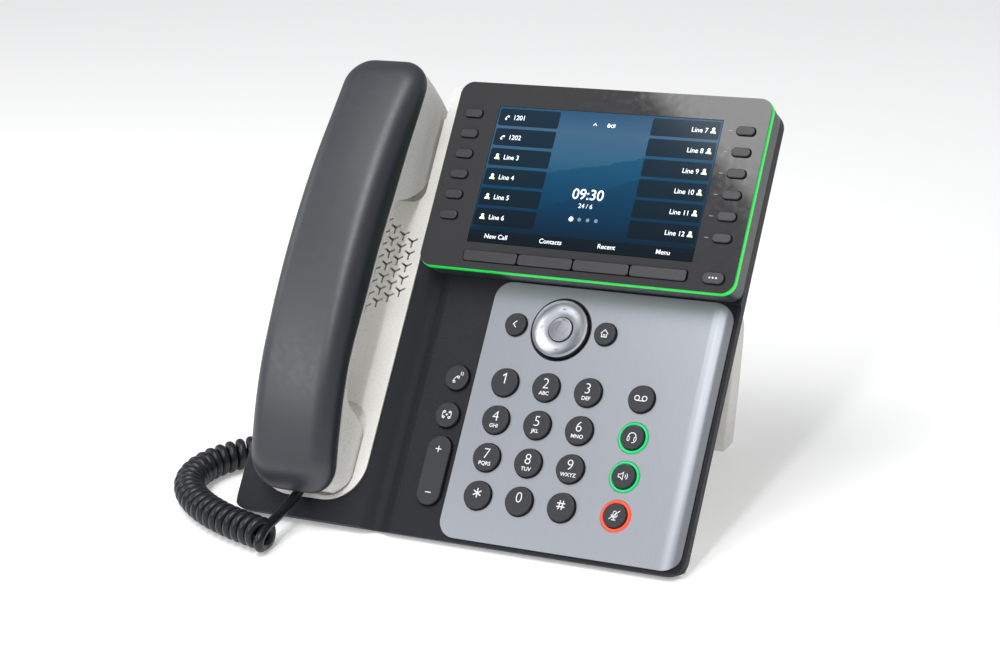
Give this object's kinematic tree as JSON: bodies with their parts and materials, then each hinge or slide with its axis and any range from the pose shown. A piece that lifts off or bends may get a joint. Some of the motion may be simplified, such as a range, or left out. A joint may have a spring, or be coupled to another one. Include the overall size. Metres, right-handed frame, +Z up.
{
  "type": "desk ip phone",
  "caption": "Desk telephone with lift-off handset on a curly cord, raised colour display with lit edge, keypad plate, separate keys and rear stand.",
  "frame": {"origin": "on the desk at the middle of the footprint, the cord left out", "axes": "+Z up from the desk, +X to the user's right, -Y towards the user"},
  "size_m": [0.2603, 0.1929, 0.1816],
  "materials": {
    "textured_black": "fine woven texture",
    "cream_plastic": "matt, flecked with fine dark specks",
    "satin_silver": "satin, finely brushed",
    "case_grey": "matt",
    "green_light": "translucent, lit",
    "bezel_grey": "smooth semi-matt",
    "lcd": "smooth screen",
    "foot_rubber": "matt",
    "board_green": "solder mask",
    "screw_steel": "plain",
    "key_ring_light": "translucent, lit",
    "plug_plastic": "clear grey",
    "cord_black": "satin",
    "handset_black": "soft-touch matt",
    "key_black": "matt with light legends",
    "spun_metal": "spun, satin"
  },
  "bodies": {
    "base": {"front_housing": "textured_black", "rear_housing": "cream_plastic", "keypad_plate": "satin_silver", "cradle_plate": "cream_plastic", "display_rear_case": "case_grey", "light_ring": "green_light", "display_bezel": "bezel_grey", "lcd_panel": "lcd", "stand": "cream_plastic", "rubber_feet": "foot_rubber", "main_board": "board_green", "housing_screws": "screw_steel", "key_light_rings": "key_ring_light", "cord_plug": "plug_plastic", "cord_strand": "cord_black", "cord_coil": "cord_black", "cord_tail": "cord_black"},
    "handset": {"handset_outer_shell": "handset_black", "handset_inner_shell": "cream_plastic"},
    "hook_switch": {"hook_switch": "cream_plastic"},
    "key_1": {"key_1": "key_black"},
    "key_2": {"key_2": "key_black"},
    "key_3": {"key_3": "key_black"},
    "key_4": {"key_4": "key_black"},
    "key_5": {"key_5": "key_black"},
    "key_6": {"key_6": "key_black"},
    "key_7": {"key_7": "key_black"},
    "key_8": {"key_8": "key_black"},
    "key_9": {"key_9": "key_black"},
    "key_star": {"key_star": "key_black"},
    "key_0": {"key_0": "key_black"},
    "key_hash": {"key_hash": "key_black"},
    "headset_key": {"headset_key": "key_black"},
    "speaker_key": {"speaker_key": "key_black"},
    "mute_key": {"mute_key": "key_black"},
    "voicemail_key": {"voicemail_key": "key_black"},
    "back_key": {"back_key": "key_black"},
    "home_key": {"home_key": "key_black"},
    "hold_key": {"hold_key": "key_black"},
    "transfer_key": {"transfer_key": "key_black"},
    "select_key": {"select_key": "spun_metal"},
    "line_key_left_1": {"line_key_left_1": "key_black"},
    "line_key_left_2": {"line_key_left_2": "key_black"},
    "line_key_left_3": {"line_key_left_3": "key_black"},
    "line_key_left_4": {"line_key_left_4": "key_black"},
    "line_key_left_5": {"line_key_left_5": "key_black"},
    "line_key_left_6": {"line_key_left_6": "key_black"},
    "line_key_right_1": {"line_key_right_1": "key_black"},
    "line_key_right_2": {"line_key_right_2": "key_black"},
    "line_key_right_3": {"line_key_right_3": "key_black"},
    "line_key_right_4": {"line_key_right_4": "key_black"},
    "line_key_right_5": {"line_key_right_5": "key_black"},
    "line_key_right_6": {"line_key_right_6": "key_black"},
    "soft_key_1": {"soft_key_1": "key_black"},
    "soft_key_2": {"soft_key_2": "key_black"},
    "soft_key_3": {"soft_key_3": "key_black"},
    "soft_key_4": {"soft_key_4": "key_black"},
    "more_key": {"more_key": "key_black"},
    "navigation_disc": {"navigation_disc": "spun_metal"},
    "volume_rocker": {"volume_rocker": "key_black"}
  },
  "joints": [
    {"name": "handset_lift", "type": "slide", "parent": "base", "child": "handset", "axis": [0, -0.766, 0.6428], "range_m": [0, 0.1]},
    {"name": "hook_switch_travel", "type": "slide", "parent": "base", "child": "hook_switch", "axis": [0, -0.766, 0.6428], "range_m": [0, 0.003]},
    {"name": "key_1_press", "type": "slide", "parent": "base", "child": "key_1", "axis": [0, 0.766, -0.6428], "range_m": [0, 0.001], "stiffness_N_per_m": 300},
    {"name": "key_2_press", "type": "slide", "parent": "base", "child": "key_2", "axis": [0, 0.766, -0.6428], "range_m": [0, 0.001], "stiffness_N_per_m": 300},
    {"name": "key_3_press", "type": "slide", "parent": "base", "child": "key_3", "axis": [0, 0.766, -0.6428], "range_m": [0, 0.001], "stiffness_N_per_m": 300},
    {"name": "key_4_press", "type": "slide", "parent": "base", "child": "key_4", "axis": [0, 0.766, -0.6428], "range_m": [0, 0.001], "stiffness_N_per_m": 300},
    {"name": "key_5_press", "type": "slide", "parent": "base", "child": "key_5", "axis": [0, 0.766, -0.6428], "range_m": [0, 0.001], "stiffness_N_per_m": 300},
    {"name": "key_6_press", "type": "slide", "parent": "base", "child": "key_6", "axis": [0, 0.766, -0.6428], "range_m": [0, 0.001], "stiffness_N_per_m": 300},
    {"name": "key_7_press", "type": "slide", "parent": "base", "child": "key_7", "axis": [0, 0.766, -0.6428], "range_m": [0, 0.001], "stiffness_N_per_m": 300},
    {"name": "key_8_press", "type": "slide", "parent": "base", "child": "key_8", "axis": [0, 0.766, -0.6428], "range_m": [0, 0.001], "stiffness_N_per_m": 300},
    {"name": "key_9_press", "type": "slide", "parent": "base", "child": "key_9", "axis": [0, 0.766, -0.6428], "range_m": [0, 0.001], "stiffness_N_per_m": 300},
    {"name": "key_star_press", "type": "slide", "parent": "base", "child": "key_star", "axis": [0, 0.766, -0.6428], "range_m": [0, 0.001], "stiffness_N_per_m": 300},
    {"name": "key_0_press", "type": "slide", "parent": "base", "child": "key_0", "axis": [0, 0.766, -0.6428], "range_m": [0, 0.001], "stiffness_N_per_m": 300},
    {"name": "key_hash_press", "type": "slide", "parent": "base", "child": "key_hash", "axis": [0, 0.766, -0.6428], "range_m": [0, 0.001], "stiffness_N_per_m": 300},
    {"name": "headset_key_press", "type": "slide", "parent": "base", "child": "headset_key", "axis": [0, 0.766, -0.6428], "range_m": [0, 0.001], "stiffness_N_per_m": 300},
    {"name": "speaker_key_press", "type": "slide", "parent": "base", "child": "speaker_key", "axis": [0, 0.766, -0.6428], "range_m": [0, 0.001], "stiffness_N_per_m": 300},
    {"name": "mute_key_press", "type": "slide", "parent": "base", "child": "mute_key", "axis": [0, 0.766, -0.6428], "range_m": [0, 0.001], "stiffness_N_per_m": 300},
    {"name": "voicemail_key_press", "type": "slide", "parent": "base", "child": "voicemail_key", "axis": [0, 0.766, -0.6428], "range_m": [0, 0.001], "stiffness_N_per_m": 300},
    {"name": "back_key_press", "type": "slide", "parent": "base", "child": "back_key", "axis": [0, 0.766, -0.6428], "range_m": [0, 0.001], "stiffness_N_per_m": 300},
    {"name": "home_key_press", "type": "slide", "parent": "base", "child": "home_key", "axis": [0, 0.766, -0.6428], "range_m": [0, 0.001], "stiffness_N_per_m": 300},
    {"name": "hold_key_press", "type": "slide", "parent": "base", "child": "hold_key", "axis": [0, 0.766, -0.6428], "range_m": [0, 0.001], "stiffness_N_per_m": 300},
    {"name": "transfer_key_press", "type": "slide", "parent": "base", "child": "transfer_key", "axis": [0, 0.766, -0.6428], "range_m": [0, 0.001], "stiffness_N_per_m": 300},
    {"name": "select_key_press", "type": "slide", "parent": "base", "child": "select_key", "axis": [0, 0.766, -0.6428], "range_m": [0, 0.0008], "stiffness_N_per_m": 300},
    {"name": "line_key_left_1_press", "type": "slide", "parent": "base", "child": "line_key_left_1", "axis": [0, 0.766, -0.6428], "range_m": [0, 0.0006], "stiffness_N_per_m": 300},
    {"name": "line_key_left_2_press", "type": "slide", "parent": "base", "child": "line_key_left_2", "axis": [0, 0.766, -0.6428], "range_m": [0, 0.0006], "stiffness_N_per_m": 300},
    {"name": "line_key_left_3_press", "type": "slide", "parent": "base", "child": "line_key_left_3", "axis": [0, 0.766, -0.6428], "range_m": [0, 0.0006], "stiffness_N_per_m": 300},
    {"name": "line_key_left_4_press", "type": "slide", "parent": "base", "child": "line_key_left_4", "axis": [0, 0.766, -0.6428], "range_m": [0, 0.0006], "stiffness_N_per_m": 300},
    {"name": "line_key_left_5_press", "type": "slide", "parent": "base", "child": "line_key_left_5", "axis": [0, 0.766, -0.6428], "range_m": [0, 0.0006], "stiffness_N_per_m": 300},
    {"name": "line_key_left_6_press", "type": "slide", "parent": "base", "child": "line_key_left_6", "axis": [0, 0.766, -0.6428], "range_m": [0, 0.0006], "stiffness_N_per_m": 300},
    {"name": "line_key_right_1_press", "type": "slide", "parent": "base", "child": "line_key_right_1", "axis": [0, 0.766, -0.6428], "range_m": [0, 0.0006], "stiffness_N_per_m": 300},
    {"name": "line_key_right_2_press", "type": "slide", "parent": "base", "child": "line_key_right_2", "axis": [0, 0.766, -0.6428], "range_m": [0, 0.0006], "stiffness_N_per_m": 300},
    {"name": "line_key_right_3_press", "type": "slide", "parent": "base", "child": "line_key_right_3", "axis": [0, 0.766, -0.6428], "range_m": [0, 0.0006], "stiffness_N_per_m": 300},
    {"name": "line_key_right_4_press", "type": "slide", "parent": "base", "child": "line_key_right_4", "axis": [0, 0.766, -0.6428], "range_m": [0, 0.0006], "stiffness_N_per_m": 300},
    {"name": "line_key_right_5_press", "type": "slide", "parent": "base", "child": "line_key_right_5", "axis": [0, 0.766, -0.6428], "range_m": [0, 0.0006], "stiffness_N_per_m": 300},
    {"name": "line_key_right_6_press", "type": "slide", "parent": "base", "child": "line_key_right_6", "axis": [0, 0.766, -0.6428], "range_m": [0, 0.0006], "stiffness_N_per_m": 300},
    {"name": "soft_key_1_press", "type": "slide", "parent": "base", "child": "soft_key_1", "axis": [0, 0.766, -0.6428], "range_m": [0, 0.0006], "stiffness_N_per_m": 300},
    {"name": "soft_key_2_press", "type": "slide", "parent": "base", "child": "soft_key_2", "axis": [0, 0.766, -0.6428], "range_m": [0, 0.0006], "stiffness_N_per_m": 300},
    {"name": "soft_key_3_press", "type": "slide", "parent": "base", "child": "soft_key_3", "axis": [0, 0.766, -0.6428], "range_m": [0, 0.0006], "stiffness_N_per_m": 300},
    {"name": "soft_key_4_press", "type": "slide", "parent": "base", "child": "soft_key_4", "axis": [0, 0.766, -0.6428], "range_m": [0, 0.0006], "stiffness_N_per_m": 300},
    {"name": "more_key_press", "type": "slide", "parent": "base", "child": "more_key", "axis": [0, 0.766, -0.6428], "range_m": [0, 0.0006], "stiffness_N_per_m": 300},
    {"name": "navigation_disc_rock", "type": "hinge", "parent": "base", "child": "navigation_disc", "pos_m": [0.02975, -0.00954, 0.07893], "axis": [1, 0, 0], "range_deg": [-2.5, 2.5], "stiffness_Nm_per_rad": 0.03},
    {"name": "volume_rocker_rock", "type": "hinge", "parent": "base", "child": "volume_rocker", "pos_m": [-0.01445, -0.05441, 0.02546], "axis": [1, 0, 0], "range_deg": [-2.5, 2.5], "stiffness_Nm_per_rad": 0.03}
  ],
  "couplings": [
    {"joint": "hook_switch_travel", "follows": "handset_lift", "ratio": 0.03}
  ]
}
